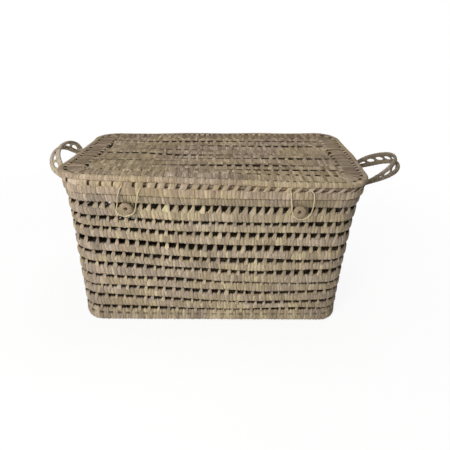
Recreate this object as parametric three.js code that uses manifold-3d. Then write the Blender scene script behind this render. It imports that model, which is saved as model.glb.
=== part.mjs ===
// Woven lidded trunk of coiled palm leaf.
// Millimetres and degrees, +Z up, front towards -Y. The origin is on the floor, under the middle of the base.

import * as THREE from 'three';
import { mergeVertices } from 'three/addons/utils/BufferGeometryUtils.js';
import Module from 'manifold-3d';

// Lid
const LID_WIDTH = 600;
const LID_DEPTH = 334;
const LID_CORNER_RADIUS = 58;
const RIM_HEIGHT = 12.2;
const RIM_THICKNESS = 20;
const BORDER_WIDTH = 27;
const LID_ROW_COUNT = 11;
const LID_PANEL_THICKNESS = 10;
const LID_PANEL_RECESS = 1;
const SKIRT_HEIGHT = 21;
const SKIRT_SET_IN = 4;
const LID_LACING_GAP = 12.5;

// Basket wall and base
const WALL_SET_IN = 4;
const WALL_TAPER = 6;
const COIL_COUNT = 10;
const COIL_HEIGHT = 21;
const COIL_THICKNESS = 14;
const COIL_CHAMFER = 4;
const COIL_GAP = 7.5;
const BASE_BORDER_HEIGHT = 19;
const BASE_ROW_COUNT = 11;
const BASE_THICKNESS = 10;
const ROW_CHAMFER = 2;

// Lacing strips between the coils
const LACING_PITCH = 42;
const LACING_DROP = 3;
const LACING_WIDTH = 7;
const LACING_RUNNER = 1.2;
const LACING_KEEP_OUT = 18;

// Handles
const HANDLE_CENTRE_Y = 0;
const HANDLE_SPAN = 140;
const HANDLE_NECK = 30;
const LEFT_HANDLE_REACH = 112;
const RIGHT_HANDLE_REACH = 150;
const LEFT_HANDLE_TILT = 54;
const RIGHT_HANDLE_TILT = 32;
const HANDLE_BAND_WIDTH = 25;
const HANDLE_CORD = 5;
const HANDLE_NECK_SPREAD = 1.7;
const HANDLE_PARTING_TURN = 36;
const HANDLE_STRIP_COUNT = 11;
const HANDLE_STRIP_WIDTH = 5;
const HANDLE_STRIP_THICKNESS = 2.4;
const HANDLE_STRIP_SLANT = 7;

// Closures at the front
const BUTTON_X = 167;
const BUTTON_DIAMETER = 29;
const BUTTON_THICKNESS = 9;
const BUTTON_EDGE = 2.5;
const BUTTON_HOLE = 4;
const COUNTERSINK_DIAMETER = 8.4;
const COUNTERSINK_DEPTH = 3.5;
const STALK_DIAMETER = 3.2;
const FRONT_KNOT = 4.4;
const FRONT_KNOT_DEPTH = 1.8;
const BACK_KNOT = 9;
const LOOP_TWINE = 2.4;
const LOOP_KNOT = 6;
const LOOP_KNOT_INSET = 4;

// Hinge ties at the back
const TIE_X = 180;
const TIE_TWINE = 3;
const TIE_CORNER_RADIUS = 6;

// Gap between pieces that touch
const CLEARANCE = 0.3;

// Facets
const ARC_STEPS = 3;
const TWINE_SIDES = 8;
const HANDLE_CORD_SIDES = 6;
const HANDLE_CORD_STEPS = 20;
const EYE_STEPS = 12;
const TURNED_STEPS = 18;
const LOOP_STEPS = 28;
const LOOP_KNOT_SIDES = 6;
const STALK_KNOT_STEPS = 4;
const HANDLE_BENDS = 16;
const WELD_DISTANCE = 1e-4;

// Route of each closure loop: across and up from the middle of its button.
// The first and last points are the knots in the lid's lacing row.
const LEFT_LOOP_ROUTE = [
  [-4, 51.7], [-8, 43], [-11, 33], [-15, 19], [-18, 7], [-19.5, -4], [-16.5, -13], [-9, -18.5],
  [0, -20], [9, -17.5], [16, -10], [18.5, 0], [20, 10], [22, 21], [25, 33], [28, 43], [31, 51.7],
];
const RIGHT_LOOP_ROUTE = [
  [-26, 51.7], [-26.5, 43], [-26.5, 33], [-25, 20], [-23, 9], [-21, -2], [-17.5, -11], [-11, -17.5],
  [-2, -20.5], [7, -18.5], [14, -12.5], [18, -3], [19, 7], [19, 19], [18.5, 33], [16.5, 43], [12, 51.7],
];

// Levels and half sizes that follow from the sizes above
const COIL_PITCH = COIL_HEIGHT + COIL_GAP;
const PARTING_Z = BASE_BORDER_HEIGHT + COIL_COUNT * COIL_PITCH;
const SKIRT_Z = PARTING_Z + CLEARANCE;
const SKIRT_TOP_Z = SKIRT_Z + SKIRT_HEIGHT;
const RIM_Z = SKIRT_TOP_Z + LID_LACING_GAP;
const RIM_TOP_Z = RIM_Z + RIM_HEIGHT;
const LID_HALF_X = LID_WIDTH / 2;
const LID_HALF_Y = LID_DEPTH / 2;
const SKIRT_HALF_Y = LID_HALF_Y - SKIRT_SET_IN;
const WALL_INSET = SKIRT_SET_IN + WALL_SET_IN;
const HANDLE_COIL = COIL_COUNT - 1;
const EYE_INNER_RADIUS = COIL_HEIGHT / 2 + LACING_RUNNER + 2 * CLEARANCE;
const EYE_CORD = COIL_GAP - 2 * LACING_RUNNER - 4 * CLEARANCE;
const EYE_RADIUS = EYE_INNER_RADIUS + EYE_CORD / 2;
const LOOP_PLANE_Y = -(SKIRT_HALF_Y + LOOP_TWINE / 2 + 2 * CLEARANCE);
const BUTTON_Z = (coilZ(HANDLE_COIL) + COIL_HEIGHT + CLEARANCE + LACING_RUNNER + coilZ(COIL_COUNT)) / 2;

const wasm = await Module();
wasm.setup();

// Leaf and twine finishes
function finish(name, color, roughness) {
  return new THREE.MeshStandardMaterial({ name, color, roughness, metalness: 0 });
}
const rimLeaf = finish('rim_leaf', 0xc2ae84, 0.75);
const lidLeaf = finish('lid_leaf', 0xa5967a, 0.8);
const wallLeaf = finish('wall_leaf', 0xb3a48b, 0.8);
const handleLeaf = finish('handle_leaf', 0x8f8468, 0.8);
const buttonWood = finish('button_wood', 0xad9a75, 0.6);
const twine = finish('twine', 0xd0c3a0, 0.85);

// Level of the underside of a wall coil; coil 0 is the border of the base.
function coilZ(coil) {
  return coil === 0 ? 0 : BASE_BORDER_HEIGHT + COIL_GAP + (coil - 1) * COIL_PITCH;
}

// How far a wall coil's outer face lies inside the lid's outer edge.
function coilInset(coil) {
  return WALL_INSET + WALL_TAPER * (COIL_COUNT - coil) / COIL_COUNT;
}

function mesh(name, geometry, material) {
  const piece = new THREE.Mesh(geometry, material);
  piece.name = name;
  return piece;
}

function numbered(name, index) {
  return `${name}_${String(index).padStart(2, '0')}`;
}

// Joining and cutting
function toSolid(geometry) {
  const bare = geometry.clone();
  bare.deleteAttribute('normal');
  bare.deleteAttribute('uv');
  const merged = mergeVertices(bare, WELD_DISTANCE);
  return new wasm.Manifold(new wasm.Mesh({
    numProp: 3,
    vertProperties: Float32Array.from(merged.attributes.position.array),
    triVerts: Uint32Array.from(merged.index.array),
  }));
}

function toGeometry(solid) {
  const result = solid.getMesh();
  return facets(result.vertProperties, result.triVerts);
}

function facets(positions, triangles) {
  const geometry = new THREE.BufferGeometry();
  geometry.setAttribute('position', new THREE.BufferAttribute(Float32Array.from(positions), 3));
  geometry.setIndex(Array.from(triangles));
  geometry.computeVertexNormals();
  return geometry;
}

// A closed surface from loops of equal length; the last loop meets the first.
function loftRing(loops) {
  const count = loops[0].length;
  const at = (loop, point) => (loop % loops.length) * count + (point % count);
  const triangles = [];
  for (let j = 0; j < loops.length; j += 1) {
    for (let i = 0; i < count; i += 1) {
      triangles.push(at(j, i), at(j, i + 1), at(j + 1, i + 1));
      triangles.push(at(j, i), at(j + 1, i + 1), at(j + 1, i));
    }
  }
  return facets(loops.flat(2), triangles);
}

// Points of a rectangle with round corners, anticlockwise seen from above, at one level.
function roundedLoop(halfX, halfY, radius, level) {
  const points = [];
  for (let corner = 0; corner < 4; corner += 1) {
    const signX = corner === 0 || corner === 3 ? 1 : -1;
    const signY = corner < 2 ? 1 : -1;
    for (let step = 0; step <= ARC_STEPS; step += 1) {
      const angle = (corner + step / ARC_STEPS) * Math.PI / 2;
      const x = signX * (halfX - radius) + radius * Math.cos(angle);
      const y = signY * (halfY - radius) + radius * Math.sin(angle);
      points.push([x, y, level]);
    }
  }
  return points;
}

// A ring that carries one section round a rectangle with round corners.
// Section points go outward and up from the outer edge of the ring's underside.
function ring(section, halfX, halfY, radius) {
  return loftRing(section.map(([out, up]) => roundedLoop(halfX + out, halfY + out, radius + out, up)));
}

function coilSection(thickness, height, chamfer) {
  return [
    [0, chamfer], [0, height - chamfer], [-chamfer, height], [chamfer - thickness, height],
    [-thickness, height - chamfer], [-thickness, chamfer], [chamfer - thickness, 0], [-chamfer, 0],
  ];
}

function circleSection(radius, sides) {
  return Array.from({ length: sides }, (_, side) => {
    const angle = 2 * Math.PI * (side + 0.5) / sides;
    return [radius * Math.cos(angle), radius * Math.sin(angle)];
  });
}

// A ring whose outer face lies a given distance inside the lid's outer edge.
function insetRing(section, inset) {
  return ring(section, LID_HALF_X - inset, LID_HALF_Y - inset, LID_CORNER_RADIUS - inset);
}

// Place and outward direction at a distance along a rectangle with round corners.
function alongLoop(distance, halfX, halfY, radius) {
  const sides = [2 * (halfY - radius), 2 * (halfX - radius)];
  const arc = radius * Math.PI / 2;
  let left = distance;
  for (let corner = 0; corner < 4; corner += 1) {
    const side = sides[corner % 2];
    const turn = corner * Math.PI / 2;
    const out = new THREE.Vector2(Math.cos(turn), Math.sin(turn));
    const ahead = new THREE.Vector2(-out.y, out.x);
    const reach = corner % 2 === 0 ? halfX : halfY;
    if (left <= side + arc || corner === 3) {
      const place = out.clone().multiplyScalar(reach).addScaledVector(ahead, Math.min(left, side) - side / 2);
      if (left <= side) {
        return { place, out };
      }
      const angle = turn + (left - side) / radius;
      const bent = new THREE.Vector2(Math.cos(angle), Math.sin(angle));
      place.addScaledVector(out, -radius).addScaledVector(bent, radius);
      return { place, out: bent };
    }
    left -= side + arc;
  }
  return null;
}

// A lacing strip: a thin runner on the lower coil that climbs in slanted stitches to the upper one.
// Stitches near a kept-out point are left low, where twine or a handle's eye passes through the row.
function lacing(inset, height, keptOut) {
  const middle = inset + COIL_THICKNESS / 2;
  const halfX = LID_HALF_X - middle;
  const halfY = LID_HALF_Y - middle;
  const radius = LID_CORNER_RADIUS - middle;
  const arc = radius * Math.PI / 2;
  const corners = [2 * (halfY - radius), 2 * (halfX - radius), 2 * (halfY - radius), 2 * (halfX - radius)];
  const length = corners.reduce((sum, side) => sum + side + arc, 0);
  const stitches = Math.round(length / LACING_PITCH);
  const pitch = length / stitches;
  const isFree = (distance) => {
    const { place } = alongLoop(distance, halfX, halfY, radius);
    return keptOut.every(([x, y]) => Math.hypot(place.x - x, place.y - y) > LACING_KEEP_OUT);
  };
  const stations = [];
  for (let stitch = 0; stitch < stitches; stitch += 1) {
    const foot = stitch * pitch;
    const top = foot + pitch - LACING_DROP;
    stations.push([foot, LACING_RUNNER]);
    if ([foot, (foot + top) / 2, top].every(isFree)) {
      stations.push([top, height]);
    }
  }
  const loops = [[], [], []];
  for (const [distance, rise] of stations) {
    const { place, out } = alongLoop(distance, halfX, halfY, radius);
    const outer = place.clone().addScaledVector(out, LACING_WIDTH / 2);
    const inner = place.clone().addScaledVector(out, -LACING_WIDTH / 2);
    loops[0].push([outer.x, outer.y, 0]);
    loops[1].push([place.x, place.y, rise]);
    loops[2].push([inner.x, inner.y, 0]);
  }
  return loftRing(loops);
}

// Flat rows that fill the opening of a ring, each a chamfered bar cut to the opening's outline.
function panelRows(inset, count, thickness) {
  const opening = inset + CLEARANCE;
  const halfX = LID_HALF_X - opening;
  const halfY = LID_HALF_Y - opening;
  const outline = roundedLoop(halfX, halfY, LID_CORNER_RADIUS - opening, 0);
  const shape = new THREE.Shape(outline.map(([x, y]) => new THREE.Vector2(x, y)));
  const plug = toSolid(new THREE.ExtrudeGeometry(shape, { depth: thickness, bevelEnabled: false }));
  const pitch = (2 * halfY + CLEARANCE) / count;
  const width = pitch - CLEARANCE;
  const section = coilSection(width, thickness, ROW_CHAMFER).map(([y, z]) => new THREE.Vector2(-z, y));
  const bar = new THREE.ExtrudeGeometry(new THREE.Shape(section), { depth: LID_WIDTH, bevelEnabled: false });
  bar.rotateY(Math.PI / 2);
  return Array.from({ length: count }, (_, row) => {
    const placed = bar.clone().translate(-LID_HALF_X, -halfY + row * pitch + width, 0);
    return toGeometry(toSolid(placed).intersect(plug));
  });
}

// A round tube along a smooth route.
function tube(route, diameter, sides, steps) {
  const section = circleSection(diameter / 2, sides).map(([x, y]) => new THREE.Vector2(x, y));
  const extrudePath = new THREE.CatmullRomCurve3(route, false, 'centripetal');
  return new THREE.ExtrudeGeometry(new THREE.Shape(section), { steps, extrudePath, bevelEnabled: false });
}

// A solid of revolution about the local Y axis.
function turned(profile) {
  return new THREE.LatheGeometry(profile.map(([r, y]) => new THREE.Vector2(r, y)), TURNED_STEPS);
}

// Basket

const basket = new THREE.Group();

// Points in a row's plan where twine or a handle's eye passes through
const eyeX = LID_HALF_X - coilInset(HANDLE_COIL) - COIL_THICKNESS / 2;
const eyePoints = [-1, 1].flatMap((side) => [-1, 1].map(
  (end) => [side * eyeX, HANDLE_CENTRE_Y + end * HANDLE_SPAN / 2],
));
const stalkPoints = [-1, 1].map((side) => [side * BUTTON_X, -(LID_HALF_Y - WALL_INSET - COIL_THICKNESS / 2)]);
const tieXs = [-TIE_X, 0, TIE_X];
const tiePoints = tieXs.map((x) => [x, LID_HALF_Y - WALL_INSET - COIL_THICKNESS / 2]);

panelRows(coilInset(0) + COIL_THICKNESS, BASE_ROW_COUNT, BASE_THICKNESS).forEach((geometry, row) => {
  basket.add(mesh(numbered('base_row', row + 1), geometry, wallLeaf));
});

const borderSection = coilSection(COIL_THICKNESS, BASE_BORDER_HEIGHT, COIL_CHAMFER);
basket.add(mesh('base_border', insetRing(borderSection, coilInset(0)), wallLeaf));

for (let coil = 1; coil <= COIL_COUNT; coil += 1) {
  const section = coilSection(COIL_THICKNESS, COIL_HEIGHT, COIL_CHAMFER);
  const wound = mesh(numbered('wall_coil', coil), insetRing(section, coilInset(coil)), wallLeaf);
  wound.position.z = coilZ(coil);
  basket.add(wound);

  const keptOut = [];
  if (coil === HANDLE_COIL || coil === HANDLE_COIL + 1) {
    keptOut.push(...eyePoints);
  }
  if (coil === COIL_COUNT) {
    keptOut.push(...stalkPoints, ...tiePoints);
  }
  const strip = lacing((coilInset(coil - 1) + coilInset(coil)) / 2, COIL_GAP - 2 * CLEARANCE, keptOut);
  const laced = mesh(numbered('wall_lacing', coil), strip, wallLeaf);
  laced.position.z = coilZ(coil) - COIL_GAP + CLEARANCE;
  basket.add(laced);
}

// Buttons and the knotted twine that holds them, turned about an axis that points out of the wall
const buttonRadius = BUTTON_DIAMETER / 2;
const buttonProfile = [
  [BUTTON_HOLE / 2, 0],
  [buttonRadius - BUTTON_EDGE, 0],
  [buttonRadius, BUTTON_EDGE],
  [buttonRadius, BUTTON_THICKNESS - 2 * BUTTON_EDGE],
  [buttonRadius - BUTTON_EDGE, BUTTON_THICKNESS - BUTTON_EDGE / 2],
  [(buttonRadius + COUNTERSINK_DIAMETER / 2) / 2, BUTTON_THICKNESS],
  [COUNTERSINK_DIAMETER / 2, BUTTON_THICKNESS],
  [BUTTON_HOLE / 2, BUTTON_THICKNESS - COUNTERSINK_DEPTH],
  [BUTTON_HOLE / 2, 0],
];
const buttonBackY = -(LID_HALF_Y - WALL_INSET + LOOP_TWINE + 2 * CLEARANCE);
const wallInnerY = -(LID_HALF_Y - WALL_INSET - COIL_THICKNESS);

// Half a circle of a knot's profile, from the axis round to the twine's radius or the other way
function knotProfile(centre, diameter, fromAngle, toAngle) {
  return Array.from({ length: STALK_KNOT_STEPS + 1 }, (_, step) => {
    const angle = fromAngle + (toAngle - fromAngle) * step / STALK_KNOT_STEPS;
    return [diameter / 2 * Math.sin(angle), centre - diameter / 2 * Math.cos(angle)];
  });
}

// The back knot seats in the groove under the top coil, against that coil's chamfer.
function stalkProfile() {
  const seat = Math.SQRT2 * (BACK_KNOT / 2 + CLEARANCE) - COIL_CHAMFER - (coilZ(COIL_COUNT) - BUTTON_Z);
  const backCentre = buttonBackY - wallInnerY - seat;
  const frontCentre = BUTTON_THICKNESS - FRONT_KNOT_DEPTH;
  const backNeck = Math.PI - Math.asin(STALK_DIAMETER / BACK_KNOT);
  const frontNeck = Math.asin(STALK_DIAMETER / FRONT_KNOT);
  const profile = [
    ...knotProfile(backCentre, BACK_KNOT, 0, backNeck),
    ...knotProfile(frontCentre, FRONT_KNOT, frontNeck, Math.PI),
  ];
  profile[0][0] = 0;
  profile[profile.length - 1][0] = 0;
  return profile;
}

for (const [side, sign] of [['left', -1], ['right', 1]]) {
  const button = mesh(`button_${side}`, turned(buttonProfile), buttonWood);
  const stalk = mesh(`button_stalk_${side}`, turned(stalkProfile()), twine);
  for (const piece of [button, stalk]) {
    piece.position.set(sign * BUTTON_X, buttonBackY, BUTTON_Z);
    piece.rotation.x = Math.PI;
    basket.add(piece);
  }
}

// Hinge ties: a loop of twine round the lid's skirt and the top wall coil
const tieOutY = SKIRT_HALF_Y + CLEARANCE + TIE_TWINE / 2;
const tieInY = LID_HALF_Y - WALL_INSET - COIL_THICKNESS - CLEARANCE - TIE_TWINE / 2;
const tieTopZ = SKIRT_TOP_Z + LACING_RUNNER + 2 * CLEARANCE + TIE_TWINE / 2;
const tieBottomZ = coilZ(COIL_COUNT) - CLEARANCE - TIE_TWINE / 2;
const tieTurn = new THREE.Matrix4().makeBasis(
  new THREE.Vector3(0, 1, 0),
  new THREE.Vector3(0, 0, 1),
  new THREE.Vector3(1, 0, 0),
);
['left', 'centre', 'right'].forEach((name, index) => {
  const section = circleSection(TIE_TWINE / 2, TWINE_SIDES);
  const loop = ring(section, (tieOutY - tieInY) / 2, (tieTopZ - tieBottomZ) / 2, TIE_CORNER_RADIUS);
  const tie = mesh(`hinge_tie_${name}`, loop, twine);
  tie.setRotationFromMatrix(tieTurn);
  tie.position.set(tieXs[index], (tieOutY + tieInY) / 2, (tieTopZ + tieBottomZ) / 2);
  basket.add(tie);
});

// Lid

const lid = new THREE.Group();

const skirtSection = coilSection(COIL_THICKNESS, SKIRT_HEIGHT, COIL_CHAMFER);
const skirt = mesh('lid_skirt', insetRing(skirtSection, SKIRT_SET_IN), rimLeaf);
skirt.position.z = SKIRT_Z;
lid.add(skirt);

const loopKnotY = -(SKIRT_HALF_Y - LOOP_KNOT_INSET);
const loopKnotPoints = [[-1, LEFT_LOOP_ROUTE], [1, RIGHT_LOOP_ROUTE]].flatMap(([sign, route]) => (
  [route[0], route[route.length - 1]].map(([across]) => [sign * BUTTON_X + across, loopKnotY])
));
const lidLacing = mesh(
  'lid_lacing',
  lacing(SKIRT_SET_IN, LID_LACING_GAP - 2 * CLEARANCE, [...tiePoints, ...loopKnotPoints]),
  rimLeaf,
);
lidLacing.position.z = SKIRT_TOP_Z + CLEARANCE;
lid.add(lidLacing);

const rim = mesh('lid_rim', insetRing(coilSection(RIM_THICKNESS, RIM_HEIGHT, COIL_CHAMFER), 0), rimLeaf);
rim.position.z = RIM_Z;
lid.add(rim);

const panelZ = RIM_TOP_Z - LID_PANEL_RECESS - LID_PANEL_THICKNESS;
const borderInset = RIM_THICKNESS + CLEARANCE;
const flatSection = coilSection(BORDER_WIDTH, LID_PANEL_THICKNESS, ROW_CHAMFER);
const border = mesh('lid_border', insetRing(flatSection, borderInset), lidLeaf);
border.position.z = panelZ;
lid.add(border);

panelRows(borderInset + BORDER_WIDTH, LID_ROW_COUNT, LID_PANEL_THICKNESS).forEach((geometry, row) => {
  const piece = mesh(numbered('lid_row', row + 1), geometry, lidLeaf);
  piece.position.z = panelZ;
  lid.add(piece);
});

// Handles: two edge cords that part at the neck, slanted cross strips, and an eye at either end.
// In a handle's own frame X is its reach, Y its span and Z the width of its band.

function handleGeometry(reach) {
  const halfSpread = (HANDLE_BAND_WIDTH - HANDLE_CORD) / 2;
  const partingTurn = THREE.MathUtils.degToRad(HANDLE_PARTING_TURN);
  const bow = reach - HANDLE_NECK;
  const point = (turn, edge) => {
    const open = Math.min(1, Math.sin(turn) / Math.sin(partingTurn));
    const spread = HANDLE_NECK_SPREAD + (halfSpread - HANDLE_NECK_SPREAD) * open * open * (3 - 2 * open);
    const x = HANDLE_NECK + bow * Math.sin(turn);
    const y = -HANDLE_SPAN / 2 * Math.cos(turn);
    return new THREE.Vector3(x, y, edge * spread);
  };
  const edgeRoute = (edge) => {
    const bent = Array.from(
      { length: HANDLE_BENDS + 1 },
      (_, bend) => point(Math.PI * bend / HANDLE_BENDS, edge),
    );
    const root = (end) => new THREE.Vector3(EYE_RADIUS, end * HANDLE_SPAN / 2, edge * HANDLE_NECK_SPREAD);
    return [root(-1), ...bent, root(1)];
  };
  const cord = (edge) => toSolid(tube(edgeRoute(edge), HANDLE_CORD, HANDLE_CORD_SIDES, HANDLE_CORD_STEPS));
  let whole = cord(-1).add(cord(1));

  const slant = HANDLE_STRIP_SLANT / bow;
  for (let strip = 1; strip <= HANDLE_STRIP_COUNT; strip += 1) {
    const turn = Math.PI * strip / (HANDLE_STRIP_COUNT + 1);
    const low = point(turn - slant, -1);
    const high = point(turn + slant, 1);
    const along = high.clone().sub(low);
    const tangent = point(turn + slant, 0).sub(point(turn - slant, 0));
    const box = new THREE.BoxGeometry(along.length(), HANDLE_STRIP_WIDTH, HANDLE_STRIP_THICKNESS);
    const xAxis = along.clone().normalize();
    const zAxis = xAxis.clone().cross(tangent).normalize();
    const yAxis = zAxis.clone().cross(xAxis);
    const placed = new THREE.Matrix4().makeBasis(xAxis, yAxis, zAxis);
    placed.setPosition(low.clone().add(high).multiplyScalar(0.5));
    whole = whole.add(toSolid(box.applyMatrix4(placed)));
  }

  const eyeProfile = circleSection(EYE_CORD / 2, HANDLE_CORD_SIDES).map(
    ([x, y]) => new THREE.Vector2(EYE_RADIUS + x, y),
  );
  eyeProfile.push(eyeProfile[0].clone());
  for (const end of [-1, 1]) {
    const eye = new THREE.LatheGeometry(eyeProfile, EYE_STEPS).translate(0, end * HANDLE_SPAN / 2, 0);
    whole = whole.add(toSolid(eye));
  }
  return toGeometry(whole);
}

const handleAxisZ = coilZ(HANDLE_COIL) + COIL_HEIGHT / 2;
const leftHandle = mesh('left_handle', handleGeometry(LEFT_HANDLE_REACH), handleLeaf);
leftHandle.position.set(-eyeX, HANDLE_CENTRE_Y, handleAxisZ);
leftHandle.rotation.set(0, THREE.MathUtils.degToRad(LEFT_HANDLE_TILT), Math.PI);
const rightHandle = mesh('right_handle', handleGeometry(RIGHT_HANDLE_REACH), handleLeaf);
rightHandle.position.set(eyeX, HANDLE_CENTRE_Y, handleAxisZ);
rightHandle.rotation.set(0, -THREE.MathUtils.degToRad(RIGHT_HANDLE_TILT), 0);

// Closure loops: twine from a knot in the lid's lacing row, down round the button and back to a second knot

function loopGeometry(route, buttonX) {
  const points = route.map(([across, up], index) => {
    const isKnot = index === 0 || index === route.length - 1;
    return new THREE.Vector3(buttonX + across, isKnot ? loopKnotY : LOOP_PLANE_Y, BUTTON_Z + up);
  });
  let cord = toSolid(tube(points, LOOP_TWINE, TWINE_SIDES, LOOP_STEPS));
  for (const end of [points[0], points[points.length - 1]]) {
    const knot = new THREE.SphereGeometry(LOOP_KNOT / 2, LOOP_KNOT_SIDES, LOOP_KNOT_SIDES);
    cord = cord.add(toSolid(knot.translate(end.x, end.y, end.z)));
  }
  return toGeometry(cord);
}

const leftLoop = mesh('left_loop', loopGeometry(LEFT_LOOP_ROUTE, -BUTTON_X), twine);
const rightLoop = mesh('right_loop', loopGeometry(RIGHT_LOOP_ROUTE, BUTTON_X), twine);

const trunk = new THREE.Group();
trunk.add(basket, lid, leftHandle, rightHandle, leftLoop, rightLoop);

export default trunk;
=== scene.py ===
import math

import bpy
import numpy as np
from mathutils import Matrix, Vector
from numpy.random import default_rng


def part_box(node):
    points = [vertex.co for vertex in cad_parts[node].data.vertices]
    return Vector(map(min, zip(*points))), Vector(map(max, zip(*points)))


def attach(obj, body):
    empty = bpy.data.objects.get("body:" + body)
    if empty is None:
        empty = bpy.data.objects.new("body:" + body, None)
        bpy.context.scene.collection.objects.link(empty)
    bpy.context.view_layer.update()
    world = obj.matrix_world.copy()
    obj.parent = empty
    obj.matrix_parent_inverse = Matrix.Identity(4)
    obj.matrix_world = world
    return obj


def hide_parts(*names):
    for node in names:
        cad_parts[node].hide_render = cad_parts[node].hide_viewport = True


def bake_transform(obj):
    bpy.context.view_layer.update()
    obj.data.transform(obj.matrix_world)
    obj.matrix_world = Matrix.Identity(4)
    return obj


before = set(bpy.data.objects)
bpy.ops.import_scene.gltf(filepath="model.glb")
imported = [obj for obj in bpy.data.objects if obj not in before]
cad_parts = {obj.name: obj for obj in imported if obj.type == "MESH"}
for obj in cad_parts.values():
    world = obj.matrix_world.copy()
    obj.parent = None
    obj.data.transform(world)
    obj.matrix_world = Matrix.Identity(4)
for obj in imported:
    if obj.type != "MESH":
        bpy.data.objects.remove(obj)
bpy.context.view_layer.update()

MM = 0.001
ROUND = 2 * np.pi

# Camera: place, aim and lens of the photograph, in mm and degrees
CAMERA_AT = (-14.2, -887.8, 620.0)
CAMERA_YAW = 2.723
CAMERA_PITCH = 27.01
CAMERA_ROLL = 2.036
CAMERA_LENS = 32.76
CAMERA_SENSOR = 36.0

# Widths of the leaf strips, in mm
WALL_STRIP = 7.2
RIM_STRIP = 5.2
SKIRT_STRIP = 8.5
LID_STRIP = 4.8
BASE_STRIP = 12.0
BUNDLE_STRIP = 7.0
HANDLE_STRIP = 6.5
EYE_STRIP = 5.0

# Open rows of the wall, from the top one down: how high each is at these x along the front
ROW_X = (-255, -182, -109, -36, 36, 109, 182, 255)
ROW_OPEN = (
    (9, 10, 12, 12, 12, 13, 12, 9),
    (7.5, 8, 6.6, 5.8, 6.4, 5.6, 8, 9),
    (6, 7.3, 8, 8.6, 11, 11.5, 11, 9),
    (12.5, 11, 11.8, 13, 14, 13.5, 12, 8),
    (5, 10.5, 8.5, 9, 11, 10, 6.5, 7),
    (8, 8, 7.5, 7.3, 8.3, 7.7, 12.5, 10.5),
    (4, 6.8, 7.5, 6.3, 3, 2.6, 3, 3.5),
    (3, 6.8, 8, 9, 9.8, 6.5, 7.5, 6),
    (6.5, 7.3, 6.5, 5, 2.8, 7.5, 5.5, 6),
    (5, 8, 7.5, 3.2, 2.2, 5.5, 7, 4.5),
)
# How far each row strays up there, and how far up all of it lies
ROW_STRAY = (
    (-3, -2.6, -1.5, -1.6, -2, -1.2, -2.2, -1),
    (-0.2, -0.4, -2, -1.6, -1, -0.1, 0, 1),
    (0.8, 0, -0.9, -0.9, -1.1, 0, 0.6, 1),
    (1.9, 1.3, 0.7, -2.5, -2.3, -1.1, 0.3, 0),
    (3.8, 2.1, 0.4, -1.2, -1.9, -1.2, -1.9, 1.4),
    (6.3, 5, 3, 1.6, -1, -3.4, -0.4, 3),
    (1.7, 1, 1, -1.6, -4, -5, -5, -3),
    (7, 7, 5, 1.7, 0.3, -3, 0.3, 6),
    (9, 7.5, 5, 0.2, -1.2, -3.2, -0.5, 4.5),
    (6, 4.5, 3.5, 1.5, 0.2, 3.5, 5, 7),
)
ROW_SHIFT = (3, -1, 2, 0, -1.5, -2, 1, 0, 2.5, 6)
# Stitches of each row: their pitch, and how far they widen at the foot as a share of the row's height
ROW_PITCH = (17.0, 18.0, 18.4, 19.7, 19.7, 19.8, 20.6, 19.3, 20.3, 20.7)
ROW_FLARE = (0.58, 0.45, 0.42, 0.3, 0.38, 0.4, 0.4, 0.42, 0.4, 0.4)
# The front and the back begin, and are reached, this far from the middle of the short sides
WALL_TURN = (60.0, 140.0)
# Height of the rows along the short sides, as a share of the front's mean: wider at the left
SIDE_X = (-250.0, -180.0)
SIDE_OPEN = (1.1, 0.7)
# How much of that the back closes, down to the fifth row and below it
LIT_ROWS = 5
BACK_SHUT = 0.2
BACK_SHUT_LOW = 0.62

# Seams of the lid's rows, from the one in front of the first row: how far each opens at these x
SEAM_X = (-250, -160, -80, 0, 80, 160, 250)
NO_SEAM = (0,) * len(SEAM_X)
SEAM_OPEN = (
    (0, 0, 0, 0.5, 2.5, 4, 2),
    (0, 0, 0, 0.5, 3.5, 4.5, 2.5),
    (0, 0, 3.5, 6, 8, 3, 0),
    (2.2, 2, 1, 0, 0, 0, 0),
    (1, 1, 2, 2.2, 2.2, 7, 2.2),
    (4.5, 5.5, 7.5, 3.5, 1.2, 0.8, 0),
    NO_SEAM,
    (0, 1.5, 4, 1.5, 0, 0, 0),
    (0, 0, 0, 4, 4.5, 7, 3),
    NO_SEAM,
    (1.5, 5, 9, 6.5, 3.5, 4.5, 3),
    NO_SEAM,
)
SEAM_WIDEN = 1.8
# How far each seam strays to the back there
SEAM_STRAY = (
    NO_SEAM,
    (0, 0, 0, -1, 0, 4, 8),
    (-8, -8, -6, -1, 5, 8, 10),
    (-2, 0, 0, 0, 0, 0, 0),
    (-6, -8, -6, -2, 6, 8, 10),
    (7, 8, -4, 1, 8, 8, 8),
    NO_SEAM,
    (-3, -3, -8, -8, 0, 0, 0),
    (5, 5, 5, 5, 5, 5, 5),
    NO_SEAM,
    (4, -7, -5, -1, 0, -1, -2),
    NO_SEAM,
)

# Handmade lean: mm that the front rises, by powers of the height (a line each) and of x
LEAN = (
    (2.8, -21.4, 19.4, -6.8),
    (-2.8, 6.9, -3.5, 3.2),
    (1.4, 11.6, -10.7, 4.0),
)
LEAN_LENGTH = 300.0
LEAN_DEPTH = 160.0
WALL_TOP = 304.0
LID_TOP = 350.0
# Droop of the lid's front: in the middle, more to the right, and more at the left corner
LID_DROOP = 5.5
LID_TIP = 6.5
LEFT_DROOP = 8.0
BACK_TIP = 8.0
# Bow of both sides to the right, full from this depth behind the front on
BOW_DEPTH = 140.0
RIGHT_BOW = 10.0
LEFT_BOW = 9.0
# More width of the front at its right: at the wall's top, in the lid and at the foot
RIGHT_TOP = 8.0
RIGHT_LID = 1.0
RIGHT_FOOT = 3.5
# More width at the left: all over, at the wall's top and in the lid, and less in the lid's back
LEFT_ALL = 4.0
LEFT_TOP = 4.0
LEFT_LID = 3.0
LEFT_BACK = 5.0
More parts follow.
